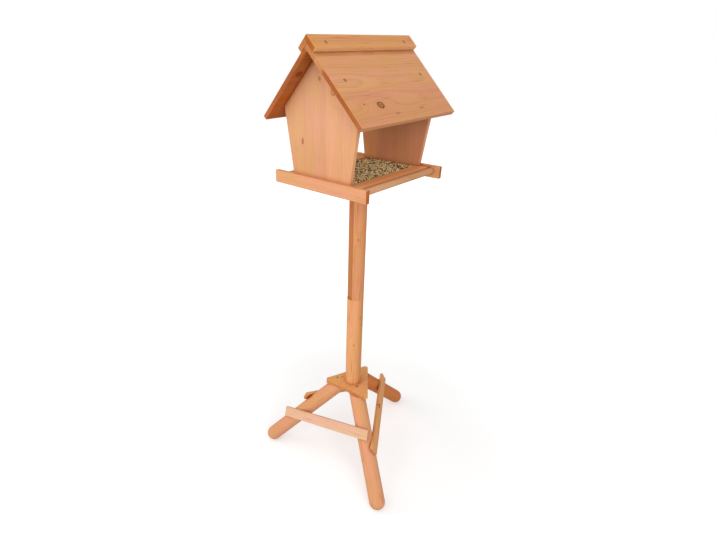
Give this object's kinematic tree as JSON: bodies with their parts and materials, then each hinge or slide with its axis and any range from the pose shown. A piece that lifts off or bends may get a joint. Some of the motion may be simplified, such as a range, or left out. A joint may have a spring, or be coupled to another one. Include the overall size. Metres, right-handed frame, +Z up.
{
  "type": "bird feeder on a tripod stand",
  "caption": "Small gabled wooden bird feeder, open at front and back, on a round pole with a tripod stand.",
  "frame": {"origin": "on the ground under the middle of the pole", "axes": "+Z up; the ridge runs along X; the front faces -Y"},
  "size_m": [0.4653, 0.4558, 1.1601],
  "materials": {
    "fir_boards": "satin",
    "fir_poles": "satin",
    "roof_boards": "satin",
    "pale_boards": "satin"
  },
  "bodies": {
    "root": {"leg_front": "fir_poles", "leg_left": "fir_poles", "leg_right": "fir_poles", "hub_plate": "fir_boards", "stretcher_left": "pale_boards", "stretcher_front": "fir_boards", "stretcher_back": "fir_boards", "pole_lower": "fir_poles", "pole_upper": "fir_poles", "tray_floor": "fir_boards", "side_rail_left": "fir_boards", "side_rail_right": "fir_boards", "ledge_front": "fir_boards", "ledge_back": "fir_boards", "perch_front": "fir_boards", "perch_back": "fir_boards", "gable_wall_left": "fir_boards", "gable_wall_right": "fir_boards", "roof_panel_front": "roof_boards", "roof_panel_back": "roof_boards", "ridge_board_front": "roof_boards", "ridge_board_back": "roof_boards"}
  },
  "joints": []
}
